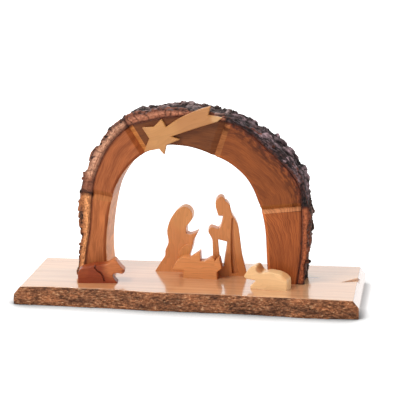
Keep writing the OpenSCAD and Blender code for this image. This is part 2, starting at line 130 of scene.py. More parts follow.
class StableSizes(bpy.types.PropertyGroup):
    """Sizes of edges, carving and bark."""
    slab_round: size_prop("Slab edge", "Rounding of the slab's sawn edges", 0.5)
    arch_round: size_prop("Arch edge", "Rounding of the arch's edges and grooves", 0.5)
    arris_round: size_prop("Arch arris", "Rounding of the arch's two inner arrises", 2.2)
    figure_round: size_prop("Figure edge", "Rounding of the sanded figures and the manger", 0.6)
    sheep_round: size_prop("Sheep edge", "Rounding of the sheep", 0.9)
    comet_round: size_prop("Comet edge", "Rounding of the comet", 0.7)
    bark_grid: size_prop("Bark mesh", "Spacing of the mesh that carries the bark's relief", 0.6)
    lap_rise: size_prop("Lap", "Height of the kneeling figure's lap over its robe", 1.5)
    fold_width: size_prop("Fold", "How far the standing figure's fold opens at its foot", 3.6)
    fold_depth: size_prop("Fold depth", "How much deeper the fold is at its foot", 1.8)
    flake_length: size_prop("Flake length", "Length of a flake of bark along the arch", 8.0)
    flake_depth: size_prop("Fissure depth", "Depth of the fissures between the flakes of bark", 0.9)
    crack_pitch: size_prop("Crack spacing", "Spacing of the radial cracks in the sawn bark", 2.9)
    crack_depth: size_prop("Crack depth", "Depth of the radial cracks in the sawn bark", 0.9)


class StableColours(bpy.types.PropertyGroup):
    """Colours of the woods and barks; the arch's lengths have theirs in tables."""
    slab: colour_prop("Slab wood", "Varnished slab", "#DAA67A")
    slab_bark: colour_prop("Slab bark", "Bark on the slab's front edge", "#96603F")
    figure: colour_prop("Figure wood", "Wood of the figures and the manger", "#D48A50")
    comet: colour_prop("Comet wood", "Pale wood of the comet", "#B87E4A")
    left_sheep: colour_prop("Left sheep", "Dark wood of the left sheep", "#923F1C")
    right_sheep: colour_prop("Right sheep", "Pale wood of the right sheep", "#F8CC96")
    # Near black colour of the fissures, cracks and hollows in the arch's bark: painted shade in its deep places
    fissure: colour_prop("Bark fissures", "Deep places in the arch's bark", "#1C1412")


# ---- mesh helpers

def shown(name, mesh):
    piece = bpy.data.objects.new(name, mesh)
    bpy.context.scene.collection.objects.link(piece)
    return piece


def node_skin(node):
    """A CAD node's mesh as a bmesh with its doubles merged and its flat faces made whole."""
    skin = bmesh.new()
    skin.from_mesh(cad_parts[node].data)
    bmesh.ops.remove_doubles(skin, verts=skin.verts, dist=MERGED)
    bmesh.ops.dissolve_limit(skin, angle_limit=FLAT_ANGLE, verts=skin.verts, edges=skin.edges)
    return skin


def to_mesh(skin, name):
    mesh = bpy.data.meshes.new(name)
    skin.to_mesh(mesh)
    skin.free()
    return mesh


def bevel(skin, edges, width, segments):
    bmesh.ops.bevel(skin, geom=edges, affect="EDGES", offset=width, segments=segments, profile=0.5, material=-1,
                    clamp_overlap=False, loop_slide=False)


def soften(skin, width, keep=None):
    """Rounds every sharp outward edge of a bmesh, apart from those that keep() names."""
    sharp = [e for e in skin.edges if e.is_manifold and e.is_convex and e.calc_face_angle(0) > SHARP_ANGLE
             and not (keep and keep(e))]
    bevel(skin, sharp, width, 3)


def fill_flats(skin, normal, levels):
    """Fills the flats at some levels along a normal anew, because a face with a hole in it folds over itself once
    its edges have been rounded."""
    for level in levels:
        flat = [f for f in skin.faces if all(abs(v.co.dot(normal) - level) < TOUCHING for v in f.verts)]
        members = set(flat)
        outline = [e for f in flat for e in f.edges if sum(g in members for g in e.link_faces) == 1]
        bmesh.ops.delete(skin, geom=flat, context="FACES")
        bmesh.ops.triangle_fill(skin, use_beauty=True, edges=outline, normal=normal)
    bmesh.ops.recalc_face_normals(skin, faces=skin.faces)


def front_plane(skin):
    """The outward normal of a board's front face and a point on it."""
    face = max((f for f in skin.faces if f.normal.y < -0.5), key=lambda f: f.calc_area())
    return face.normal.copy(), face.verts[0].co.copy()


def soften_board(skin, width):
    """Rounds a board's outline, but not its foot on the slab or what is carved into its front."""
    ahead, origin = front_plane(skin)
    behind = {f: max((origin - v.co).dot(ahead) for v in f.verts) for f in skin.faces}
    thickness = max(behind.values())
    carved = {f for f in skin.faces if 0.5 * MM < behind[f] < min(5 * MM, 0.9 * thickness)}
    soften(skin, width, keep=lambda e: any(f in carved for f in e.link_faces)
           or all(v.co.z < SLAB_TOP + TOUCHING for v in e.verts))
    front = origin.dot(ahead)
    fill_flats(skin, ahead, (front, front - thickness))


def vectors_of(items, key):
    """A vector that each vertex or face has, as rows."""
    rows = np.empty(len(items) * 3, np.float32)
    items.foreach_get(key, rows)
    return rows.reshape(-1, 3).astype(float)


def even_normals(mesh):
    """Shading that keeps flat faces flat: each corner takes the mean of the faces round it that turn little from
    its own face, weighed by their areas."""
    limit = math.cos(SHADING_ANGLE)
    normals = vectors_of(mesh.polygons, "normal")
    areas = np.array([face.area for face in mesh.polygons])
    corners = [(vertex, face.index) for face in mesh.polygons for vertex in face.vertices]
    around = [[] for _ in mesh.vertices]
    for vertex, face in corners:
        around[vertex].append(face)
    shading = []
    for vertex, face in corners:
        near = [f for f in around[vertex] if normals[f] @ normals[face] > limit]
        shading.append(Vector((normals[near] * areas[near][:, None]).sum(0)).normalized())
    mesh.normals_split_custom_set(shading)


def finished(skin, name, node, material):
    """Makes the bmesh an object that stands for a CAD node, with its material and smooth shading."""
    mesh = to_mesh(skin, name)
    mesh.materials.append(material)
    mesh.shade_smooth()
    mesh.set_sharp_from_angle(angle=SHADING_ANGLE)
    even_normals(mesh)
    piece = shown(name, mesh)
    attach(piece, "root")
    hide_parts(node)
    return mesh


def from_board(node, material, width, carve=None):
    """A piece cut from board, with its outline sanded round after carve() has worked on its front."""
    skin = node_skin(node)
    if carve:
        carve(skin)
    soften_board(skin, width)
    finished(skin, node + "_board", node, material)


def mark(mesh, domain, **attributes):
    """Writes numbers on a mesh's points or faces for its material to read."""
    for name, values in attributes.items():
        layer = mesh.attributes.new(name, "FLOAT", domain)
        layer.data.foreach_set("value", np.asarray(values, np.float32))


def from_bark(node, name, material, grid, carve):
    """A piece of bark: an even, closed copy of the CAD node's mesh, fine enough for relief. From the places and
    normals of its vertices carve() gives their heights in mm and the numbers that the material reads. No vertex
    leaves the solids' box."""
    coarse = to_mesh(node_skin(node), name)
    piece = shown(name, coarse)
    remesh = piece.modifiers.new("Even skin", "REMESH")
    remesh.mode = "VOXEL"
    remesh.voxel_size = grid
    mesh = bpy.data.meshes.new_from_object(piece.evaluated_get(bpy.context.evaluated_depsgraph_get()))
    piece.modifiers.clear()
    piece.data = mesh
    mesh.name = name
    bpy.data.meshes.remove(coarse)
    places, normals = (vectors_of(mesh.vertices, key) for key in ("co", "normal"))
    height, numbers = carve(places, normals)
    places = np.clip(places + normals * (height * MM)[:, None], CAD_BOX[0], CAD_BOX[1])
    mesh.vertices.foreach_set("co", places.astype(np.float32).ravel())
    mark(mesh, "POINT", **numbers)
    mesh.materials.clear()
    mesh.materials.append(material)
    mesh.shade_smooth()
    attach(piece, "root")
    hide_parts(node)


def ease(low, high, x):
    t = np.clip((np.asarray(x, float) - low) / (high - low), 0.0, 1.0)
    return t * t * (3 - 2 * t)


def fractal(points, octaves=3):
    """Smooth noise from -1 to 1 at each row of points."""
    return np.array([noise.fractal(Vector(p), 1.0, 2.0, octaves) for p in points])


def cells(points):
    """For each row of points: how near it is to a cell's border, and a random number for its cell."""
    border = np.empty(len(points))
    chance = np.empty(len(points))
    for k, p in enumerate(points):
        reach, centres = noise.voronoi(Vector(p))
        border[k] = reach[1] - reach[0]
        chance[k] = noise.cell(centres[0] * 7.31)
    return border, chance


def smooth_curve(shares):
    """Points in mm along a cardinal spline through the stations."""
    p = np.array([(ARCH_SHIFT + x * ARCH_WIDTH / 2, SLAB_TOP + z * ARCH_HEIGHT) for x, z in shares]) / MM
    tangent = np.gradient(p, axis=0)
    t = np.linspace(0, 1, CURVE_STEPS, endpoint=False)[:, None]
    runs = [p[k] * (2 * t ** 3 - 3 * t ** 2 + 1) + tangent[k] * (t ** 3 - 2 * t ** 2 + t)
            + p[k + 1] * (3 * t ** 2 - 2 * t ** 3) + tangent[k + 1] * (t ** 3 - t ** 2)
            for k in range(len(p) - 1)]
    return np.vstack(runs + [p[-1:]])


OUTER_CURVE = smooth_curve(OUTER_SHARES)
INNER_CURVE = smooth_curve(INNER_SHARES)
CURVE_RUN = np.concatenate([[0], np.cumsum(np.linalg.norm(np.diff(OUTER_CURVE, axis=0), axis=1))])
CURVE_OUT = OUTER_CURVE - INNER_CURVE
CURVE_OUT /= np.linalg.norm(CURVE_OUT, axis=1, keepdims=True)
POINTS_AT_ONCE = 2000


def on_arch(places):
    """Where points lie on the arch, in mm: along its outer edge, out past it, and its outward direction."""
    flat = places[:, [0, 2]] / MM
    nearest = np.concatenate([np.argmin(((some[:, None] - OUTER_CURVE[None]) ** 2).sum(2), axis=1)
                              for some in np.array_split(flat, max(1, len(flat) // POINTS_AT_ONCE))])
    step = flat - OUTER_CURVE[nearest]
    outward = CURVE_OUT[nearest]
    along = CURVE_RUN[nearest] + (step * np.stack([outward[:, 1], -outward[:, 0]], 1)).sum(1)
    return along, (step * outward).sum(1), outward


# ---- material helpers

def add(tree, kind, inputs=None, **settings):
    """Adds a shader node, sets its properties, and sets or links its inputs."""
    made = tree.nodes.new("ShaderNode" + kind)
    for key, value in settings.items():
        setattr(made, key, value)
    for key, value in (inputs or {}).items():
        if isinstance(value, bpy.types.NodeSocket):
            tree.links.new(value, made.inputs[key])
        else:
            made.inputs[key].default_value = value
    return made


def opaque(colour):
    """A grey or a colour with alpha 1."""
    return (colour,) * 3 + (1.0,) if isinstance(colour, (int, float)) else tuple(colour[:3]) + (1.0,)


def shade(colour, factor):
    return opaque([min(1.0, c * factor) for c in colour[:3]])


def ramp(tree, fac, stops):
    made = add(tree, "ValToRGB", {"Fac": fac})
    points = made.color_ramp.elements
    while len(points) < len(stops):
        points.new(0.5)
    for point, (place, colour) in zip(points, stops):
        point.position = place
        point.color = opaque(colour)
    return made.outputs["Color"]


def mixed(tree, share, a, b, blend="MIX"):
    """Mixes a share of the colour b into a; both are sockets or colours."""
    a, b = (c if isinstance(c, bpy.types.NodeSocket) else opaque(c) for c in (a, b))
    return add(tree, "Mix", {0: share, 6: a, 7: b}, data_type="RGBA", blend_type=blend).outputs[2]


def tinted(tree, colour, tint, share=1.0):
    """A colour times a tint, or only a share of it."""
    return mixed(tree, share, colour, tint, "MULTIPLY")


def graded(tree, colour, fac, stops):
    """A colour times the tint that a ramp gives."""
    return tinted(tree, colour, ramp(tree, fac, stops))


def maths(tree, operation, a, b=0.0):
    return add(tree, "Math", {0: a, 1: b}, operation=operation).outputs[0]


def swung(tree, value, wander, reach):
    """A value that noise shifts to both sides, by up to half the reach."""
    return maths(tree, "ADD", value, maths(tree, "MULTIPLY", maths(tree, "SUBTRACT", wander, 0.5), reach))


def ranged(tree, value, low, high, start=0.0, end=1.0, **settings):
    """Maps low to start and high to end, and holds them outside."""
    inputs = {"Value": value, 1: low, 2: high, 3: start, 4: end}
    return add(tree, "MapRange", inputs, **settings).outputs[0]


def coordinates(tree, kind="Object"):
    return add(tree, "TexCoord").outputs[kind]


def axis_of(tree, vector, axis):
    return add(tree, "SeparateXYZ", {0: vector}).outputs[axis]


def attributes(tree, *names):
    return [add(tree, "Attribute", attribute_name=name).outputs["Fac"] for name in names]


def noised(tree, vector, scale, detail, roughness=0.5):
    inputs = {"Vector": vector, "Scale": scale, "Detail": detail, "Roughness": roughness}
    return add(tree, "TexNoise", inputs).outputs["Fac"]


def noised_along(tree, detail, roughness, *parts):
    """Noise over up to three values, each of them given with the length of the noise along it."""
    vector = [maths(tree, "DIVIDE", value, length) for value, length in parts]
    return noised(tree, add(tree, "CombineXYZ", dict(enumerate(vector))).outputs[0], 1.0, detail, roughness)


def lines_from(tree, place, cross_mm, along_mm, axis, detail):
    """Noise drawn out along one axis of Object coordinates: cross_mm wide and along_mm long."""
    scale = [1000 / cross_mm] * 3
    scale["xyz".index(axis)] = 1000 / along_mm
    mapped = add(tree, "Mapping", {"Vector": place, "Scale": scale})
    return noised(tree, mapped.outputs[0], 1.0, detail, 0.6)


def new_material(name):
    material = bpy.data.materials.new(name)
    material.use_nodes = True
    tree = material.node_tree
    tree.nodes.clear()
    return material, tree


def close(tree, colour, roughness, height, relief_mm, **sockets):
    """Ends a material in one Principled shader with a bump."""
    shader = add(tree, "BsdfPrincipled", {"Base Color": colour, "Roughness": roughness})
    for key, value in sockets.items():
        shader.inputs[key.replace("_", " ")].default_value = value
    bump = add(tree, "Bump", {"Height": height, "Distance": relief_mm * MM, "Strength": 1.0})
    tree.links.new(bump.outputs["Normal"], shader.inputs["Normal"])
    add(tree, "OutputMaterial", {"Surface": shader.outputs["BSDF"]})


def blot(node, across, up, reach_mm, tint, back=0.0):
    """A spot of other tone at shares of the width, height and depth of a node: middle, reach and tint. Some spots
    are other wood, some painted light and shade.
    """
    low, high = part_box(node)
    place = [a + share * (b - a) for a, b, share in zip(low, high, (across, back, up))]
    return place, reach_mm * MM, tint


def blotted(tree, toned, spot, wander, flat, blots):
    """Lays spots of other tone over a tone, with distances along each axis scaled by flat; some are other wood,
    some painted light and shade.
    """
    for middle, reach, tint in blots:
        spread = add(tree, "VectorMath", {0: spot, 1: flat}, operation="MULTIPLY").outputs[0]
        away = add(tree, "VectorMath", {0: spread, 1: [m * f for m, f in zip(middle, flat)]},
                   operation="DISTANCE").outputs["Value"]
        away = swung(tree, away, wander, 0.5 * reach)
        share = ranged(tree, away, 0.5 * reach, reach, 1.0, 0.0, interpolation_type="SMOOTHSTEP")
        toned = tinted(tree, toned, tint, share)
    return toned


# ---- woods

def board_wood(name, colour, axis, ring_axis, ring_mm, contrast, turn=0.0, coat=0.4, blots=()):
    """Sawn and sanded board under clear varnish: growth lines along one axis, fine fibres, soft broad tone, and
    blots: of sapwood and heartwood, and some of painted light and shade."""
    material, tree = new_material(name)
    spot = coordinates(tree)
    place = add(tree, "Mapping", {"Vector": spot, "Rotation": (0, turn, 0)}).outputs[0]
    broad = lines_from(tree, place, 9.0, 40.0, axis, 2.0)
    fibre = lines_from(tree, place, 0.55, 16.0, axis, 4.0)
    rings = maths(tree, "ADD", maths(tree, "MULTIPLY", axis_of(tree, place, ring_axis), 1000 / ring_mm),
                  maths(tree, "MULTIPLY", broad, 7.0))
    toned = ramp(tree, maths(tree, "FRACT", rings),
                 [(0.0, shade(colour, 1 + contrast * 0.6)), (0.55, colour),
                  (0.88, shade(colour, 1 - contrast)), (1.0, shade(colour, 1 + contrast * 0.5))])
    toned = graded(tree, toned, fibre, [(0.3, 1 - contrast), (0.62, 1)])
    toned = graded(tree, toned, broad, [(0.3, (0.86, 0.82, 0.78)), (0.7, 1)])
    toned = blotted(tree, toned, spot, broad, (1.0, 0.0, 1.0), blots)
    close(tree, toned, 0.5, fibre, 0.04, Coat_Weight=coat, Coat_Roughness=0.14, Coat_IOR=1.4,
          Specular_IOR_Level=0.15)
    return material


def varnished_slab(colour):
    """Larch board, planed and brushed with two coats of gloss varnish: long pale and orange streaks along the
    board under a clear film, so that it mirrors the room and the pieces that stand on it."""
    material, tree = new_material("larch_slab_gloss_varnished")
    place = coordinates(tree)
    broad = lines_from(tree, place, 12.0, 160.0, "x", 2.0)
    streak = lines_from(tree, place, 2.2, 90.0, "x", 3.0)
    fibre = lines_from(tree, place, 0.6, 30.0, "x", 3.0)
    toned = ramp(tree, streak, [(0.3, shade(colour, 0.86)), (0.5, colour), (0.72, shade(colour, 1.16))])
    toned = graded(tree, toned, broad, [(0.3, (0.88, 0.82, 0.76)), (0.65, 1)])
    toned = graded(tree, toned, fibre, [(0.35, (0.93, 0.91, 0.9)), (0.6, 1)])
    # Spots in the slab's tone, two of them partly or wholly painted reflection
    toned = blotted(tree, toned, place, broad, (0.4, 1.0, 0.0),
                    [blot("base_board", *slab_spot) for slab_spot in SLAB_SPOTS_AND_REFLECTIONS])
    # The chamfered ends are darker and less orange: painted shade, where less light falls on them than on the top
    aside = maths(tree, "ABSOLUTE", axis_of(tree, place, "X"))
    end = ranged(tree, aside, CHAMFER_START - 0.4 * MM, CHAMFER_START + 0.4 * MM)
    toned = tinted(tree, toned, (0.62, 0.62, 0.8), end)
    close(tree, toned, 0.2, fibre, 0.012, Coat_Weight=1.0, Coat_Roughness=0.11, Coat_IOR=1.58)
    return material


def arch_wood(name, look):
    """Larch cut across the log, oiled: fine growth arcs that follow the arch, fibres, and a reddish mottle with
    dark smears next to the bark. It reads the attributes along, from_bark and cross, in mm: cross is from_bark,
    leaning as the arcs do. The walls of the vee grooves, the inner face of the arch and its front arris have
    tints of their own: painted light and shade, lighter where light falls on a face and darker where it falls
    less, and on the inner face partly paler wood too."""
    colour = linear(look.colour)
    material, tree = new_material(name)
    along, inside, cross, *marked = attributes(tree, "along", "from_bark", "cross", "wall_start", "wall_end",
                                               "inner", "arris")
    place = coordinates(tree)
    depth = axis_of(tree, place, "Y")
    cross = maths(tree, "ADD", cross, maths(tree, "MULTIPLY", noised(tree, place, 1000 / 18, 2.0), 3.5))

    def arcs(cross_mm, along_mm, detail):
        return noised_along(tree, detail, 0.6, (cross, cross_mm), (along, along_mm), (depth, 60 * MM))

    broad = arcs(5.0, 30.0, 3.0)
    fine = arcs(0.6, 10.0, 4.0)
    rings = maths(tree, "ADD", maths(tree, "DIVIDE", cross, look.pitch_mm), maths(tree, "MULTIPLY", broad, 2.6))
    rise = look.ring_contrast
    toned = ramp(tree, maths(tree, "FRACT", rings),
                 [(0.0, shade(colour, 1 + rise * 0.4)), (0.5, colour), (0.85, shade(colour, 1 - rise)),
                  (1.0, shade(colour, 1 + rise * 0.4))])
    toned = graded(tree, toned, broad, [(0.3, (0.72, 0.66, 0.62)), (0.52, 1), (0.72, (1.2, 1.2, 1.16))])
    toned = graded(tree, toned, fine, [(0.3, (0.74, 0.7, 0.66)), (0.55, 1), (0.7, (1.15, 1.15, 1.1))])

    speck = noised(tree, place, 1000 / 4.5, 4.0, 0.7)
    near = ramp(tree, swung(tree, maths(tree, "DIVIDE", inside, look.mottle_mm / 2), speck, 4.0),
                [(0.25, 1), (0.95, 0)])
    red = ramp(tree, speck, [(0.36, linear("#4A2A1E")), (0.48, linear("#8E4428")), (0.62, linear("#B86A42"))])
    toned = mixed(tree, maths(tree, "MULTIPLY", near, 0.75), toned, red)
    # Darker within 1.6 mm of the bark: partly the dark layer there, partly painted shade over the rounded edge
    # next to the bark
    toned = graded(tree, toned, maths(tree, "DIVIDE", inside, 1.6), [(0.3, (0.5, 0.42, 0.4)), (1.0, 1)])

    smear = ramp(tree, arcs(2.6, 7.0, 4.0), [(0.46, 1), (0.58, 0)])
    reach = ramp(tree, maths(tree, "DIVIDE", inside, look.mottle_mm * 1.5), [(0.0, 1), (0.6, 0.8), (1.0, 0)])
    smear = maths(tree, "MULTIPLY", maths(tree, "MULTIPLY", smear, reach), look.smear)
    toned = tinted(tree, toned, (0.36, 0.3, 0.28), smear)
    # Painted light and shade on the groove walls, the inner face and the front arris; on the inner face partly
    # paler wood
    for share, tint in zip(marked, look.tints):
        toned = tinted(tree, toned, tint, share)
    close(tree, toned, 0.5, fine, 0.04, Coat_Weight=0.12, Coat_Roughness=0.2, Coat_IOR=1.4,
          Specular_IOR_Level=0.12)
    return material


# ---- barks

def bark_material(name, look, deep):
    """Larch bark: a sawn ring on the faces of the slice, streaked along its layers, and weathered plates outside
    with near black fissures, painted shade in the deep places of the relief. It reads what the relief was carved
    with: rind is 0 on the sawn ring and 1 on weathered bark, deep is 1 in a fissure, crack or hollow, flake is a
    flake's random number, out and along are the place on the arch in mm, share is that across the ring, and start
    and end are the mm from the first and nearest end."""
    sawn, sawn_dark, plate = linear(look.sawn), linear(look.sawn_dark), linear(look.plate)
    material, tree = new_material(name)
    place = coordinates(tree)
    rind, low, out, along, flake, share, start, end = attributes(
        tree, "rind", "deep", "out", "along", "flake", "share", "start", "end")
    speck = noised(tree, place, 1000 / 1.6, 4.0, 0.75)
    patch = noised(tree, place, 1000 / 7, 3.0)
    streak = noised_along(tree, 3.0, 0.65, (out, 0.9), (along, 6.0))
    drawn = noised_along(tree, 4.0, 0.65, (along, 5.5), (axis_of(tree, place, "Y"), 4.0 * MM), (out, 1.3))

    sawn_tone = ramp(tree, streak, [(0.28, sawn_dark), (0.5, sawn), (0.7, shade(sawn, 1.25))])
    sawn_tone = graded(tree, sawn_tone, speck, [(0.36, (0.5, 0.42, 0.4)), (0.5, (1.0, 0.98, 0.96)), (0.64, 1.25)])
    light = look.light_share
    sawn_tone = graded(tree, sawn_tone, swung(tree, share, streak, 0.7),
                       [(light - 0.26, (look.inner, look.inner * 0.88, look.inner * 0.8)),
                        (light - 0.16, (1.1, 1.08, 1.04)), (light, (1.0, 0.98, 0.96)),
                        (light + 0.2, (0.52, 0.42, 0.38))])
    burnt = maths(tree, "DIVIDE", start, look.burnt_mm)
    sawn_tone = graded(tree, sawn_tone, burnt, [(0.7, (0.55, 0.4, 0.34)), (1.0, 1)])

    plate_tone = ramp(tree, swung(tree, drawn, flake, 0.2),
                      [(0.34, shade(plate, 0.25)), (0.45, shade(plate, 0.7)), (0.54, plate),
                       (0.62, shade(plate, 1.8)), (0.7, shade(plate, 2.6))])
    rust = maths(tree, "MULTIPLY", ramp(tree, patch, [(0.48, 0), (0.62, 1)]), 0.5)
    plate_tone = mixed(tree, rust, plate_tone, sawn_dark)

    toned = mixed(tree, rind, sawn_tone, plate_tone)
    line = ramp(tree, maths(tree, "DIVIDE", out, look.line_mm), [(0.3, 1), (0.9, 0)])
    toned = mixed(tree, maths(tree, "MULTIPLY", line, 0.8), toned, shade(sawn_dark, 0.45))
    toned = graded(tree, toned, maths(tree, "DIVIDE", end, 3.0), [(0.2, (0.3, 0.24, 0.22)), (0.9, 1)])
    # The deep places take the fissure colour: painted shade
    close(tree, mixed(tree, low, toned, deep), 0.8, speck, 0.3, Specular_IOR_Level=0.35)
    return material


def slab_edge_bark(colour):
    """Thin rough larch bark on the slab's live edge: flaky brown scales a few mm across, with light flecks
    where the flakes have broken off and dark damp patches."""
    material, tree = new_material("larch_slab_bark_rough")
    place = coordinates(tree)
    speck = lines_from(tree, place, 1.1, 2.6, "x", 5.0)
    patch = lines_from(tree, place, 5.0, 14.0, "x", 4.0)
    toned = ramp(tree, speck, [(0.32, shade(colour, 0.3)), (0.46, shade(colour, 0.8)), (0.56, shade(colour, 1.25)),
                               (0.66, linear("#C29A74"))])
    toned = graded(tree, toned, patch, [(0.36, (0.4, 0.36, 0.36)), (0.5, (0.95, 0.92, 0.9)),
                                        (0.66, (1.25, 1.15, 1.05))])
    # The splits between the bark's layers, where it dips, are painted near black: painted shade in the splits
    toned = mixed(tree, *attributes(tree, "deep"), toned, shade(colour, 0.16))
    close(tree, toned, 0.8, speck, 0.3, Specular_IOR_Level=0.3)
    return material


# ---- operators

class STABLE_OT_slab(bpy.types.Operator):
    """Builds the varnished slab with softly rounded sawn edges."""
    bl_idname = "stable.slab"
    bl_label = "Slab"

    def execute(self, context):
        sizes, colours = context.scene.stable_sizes, context.scene.stable_colours
        skin = node_skin("base_board")
        soften(skin, sizes.slab_round)
        fill_flats(skin, Vector((0, 0, 1)), (0.0, SLAB_TOP))
        finished(skin, "slab_board", "base_board", varnished_slab(colours.slab[:]))
        return {"FINISHED"}


class STABLE_OT_slab_bark(bpy.types.Operator):
    """Builds the flaky bark along the slab's front edge."""
    bl_idname = "stable.slab_bark"
    bl_label = "Slab bark"

    def execute(self, context):
        colours = context.scene.stable_colours
        from_bark("base_bark", "slab_live_edge", slab_edge_bark(colours.slab_bark[:]), SLAB_BARK_GRID,
                  self.carve)
        return {"FINISHED"}

    def carve(self, places, normals):
        mm = places / MM
        front = ease(0.15, 0.7, -normals[:, 1])
        layer = fractal(mm / (5.5, 4.0, 1.7), 4)
        split = 1 - ease(0.03, 0.22, np.abs(layer))
        rough = fractal(mm / (2.0, 1.6, 1.3), 4)
        swell = fractal(mm / (16.0, 10.0, 8.0), 3)
        return (front * (0.6 * layer - 0.5 * split + 0.45 * rough + 0.8 * swell - 0.25),
                {"deep": front * split * ease(-0.35, 0.35, -swell) * 0.75})


# An arch length's colour, how strong its growth arcs are, the mm between them, how much they lean, how many mm
# the mottle reaches in from the bark, how strong its smears are, and the tints of its first and last groove wall,
# its inner face and its front inner arris. These tints are painted light and shade: lighter where light falls on a
# face, darker where it falls less; on the inner face they are partly paler wood too.
ArchLook = collections.namedtuple("ArchLook", "colour ring_contrast pitch_mm lean mottle_mm smear tints")


class STABLE_OT_arch(bpy.types.Operator):
    """Builds the five wooden lengths of the arch with their vee grooves."""
    bl_idname = "stable.arch"
    bl_label = "Arch"

    LENGTHS = {
        "arch_left_leg": ArchLook("#B4683A", 0.06, 1.7, 0.0, 1.0, 0.3, (
            (1, 1, 1), (0.95, 1.04, 0.97), (1.6, 2.35, 2.9), (0.75, 0.65, 0.6))),
        "arch_left_haunch": ArchLook("#A05830", 0.08, 1.7, 0.004, 1.0, 0.3, (
            (1.05, 1.2, 1.25), (0.85, 0.76, 0.65), (1.6, 2.35, 2.9), (0.75, 0.65, 0.6))),
        "arch_crown": ArchLook("#6E3C1C", 0.12, 1.7, 0.004, 1.5, 0.3, (
            (3.0, 3.6, 3.5), (1.15, 1.1, 0.95), (1, 1, 1), (1, 1, 1))),
        "arch_right_haunch": ArchLook("#8A4820", 0.16, 1.7, 0.006, 7.0, 1.0, (
            (1.3, 1.75, 2.5), (1.25, 1.55, 1.7), (1, 1, 1), (1.25, 1.25, 1.2))),
        "arch_right_leg": ArchLook("#A2562A", 0.3, 2.5, 0.036, 1.5, 0.4, (
            (1.55, 2.25, 3.4), (1, 1, 1), (1, 1, 1), (1.55, 1.6, 1.6))),
    }
    # How deep behind the arch's front a groove's walls lie at most
    GROOVE_REACH = 3 * MM

    def execute(self, context):
        sizes = context.scene.stable_sizes
        for node, look in self.LENGTHS.items():
            skin = node_skin(node)
            self.round_arris(skin, sizes.arris_round)
            ends = self.ends(skin)
            soften(skin, sizes.arch_round, keep=lambda e: any(f in ends for f in e.link_faces))
            fill_flats(skin, Vector((0, -1, 0)), (-ARCH_FRONT, -ARCH_BACK))
            self.cut_across(skin, node)
            material = arch_wood("larch_%s_oiled" % node, look)
            self.mark_grain(finished(skin, node + "_wood", node, material), look.lean)
        return {"FINISHED"}

    def ends(self, skin):
        """The faces where a length meets the next one or the slab."""
        faces = list(skin.faces)
        outward = on_arch(np.array([f.calc_center_median() for f in faces]))[2]
        return {f for f, out in zip(faces, outward) if abs(f.normal.x * out[1] - f.normal.z * out[0]) > 0.9}

    def round_arris(self, skin, width):
        """Rounds the arch's inner arrises wider than its other edges."""
        def inside(v):
            flat = np.array([v.co.x, v.co.z]) / MM
            on_face = min(abs(v.co.y - ARCH_FRONT), abs(v.co.y - ARCH_BACK)) < 2 * TOUCHING
            return on_face and np.linalg.norm(INNER_CURVE - flat, axis=1).min() < 0.6
        arris = [e for e in skin.edges if e.is_manifold and e.calc_face_angle(0) > math.radians(60)
                 and all(inside(v) for v in e.verts) and abs(e.verts[0].co.y - e.verts[1].co.y) < 2 * TOUCHING]
        bevel(skin, arris, width, 5)

    def cut_across(self, skin, node):
        """Cuts the faces along lines from the inner to the outer edge, so that they can carry the grain."""
        low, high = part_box(node)
        for a, b in zip(INNER_CURVE[::CURVE_STEPS // 4], OUTER_CURVE[::CURVE_STEPS // 4]):
            middle = (a + b) / 2 * MM
            if low.x < middle[0] < high.x and low.z < middle[1] < high.z:
                parts = list(skin.faces) + list(skin.edges) + list(skin.verts)
                bmesh.ops.bisect_plane(skin, geom=parts, dist=TOUCHING, plane_co=(middle[0], 0, middle[1]),
                                       plane_no=(b[1] - a[1], 0, a[0] - b[0]))

    def mark_grain(self, mesh, lean):
        """Writes the place on the arch on the points, and what a face is on the faces."""
        along, out, _ = on_arch(vectors_of(mesh.vertices, "co"))
        mark(mesh, "POINT", along=along, from_bark=-out, cross=-out * (1 + lean * (along - along.min())))
        middles, normals = (vectors_of(mesh.polygons, key) for key in ("center", "normal"))
        outward = on_arch(middles)[2]
        forward = normals[:, 0] * outward[:, 1] - normals[:, 2] * outward[:, 0]
        inward = -normals[:, 0] * outward[:, 0] - normals[:, 2] * outward[:, 1]
        wall = (np.abs(forward) > 0.3) & (normals[:, 1] < -0.3) & (middles[:, 1] < ARCH_FRONT + self.GROOVE_REACH)
        mark(mesh, "FACE", wall_start=wall & (forward < 0), wall_end=wall & (forward > 0), inner=inward > 0.8,
             arris=(inward > 0.05) & (inward <= 0.8) & (normals[:, 1] < 0))


# A length of bark: its sawn, dark sawn and plate colours, how much its ring is cracked across and flaked into
# layers, the share of the ring's width that is sawn, not weathered, the mm that the dark line next to the wood is
# wide and that the first end is darkened, the tone of the ring's inner third, how many mm of the outside behind
# the ring are chipped down to the inner bark, and the share of the ring's width where its light layer ends
BarkLook = collections.namedtuple("BarkLook", "sawn sawn_dark plate cracked flaked sawn_share line_mm burnt_mm "
                                  "inner chipped_mm light_share")


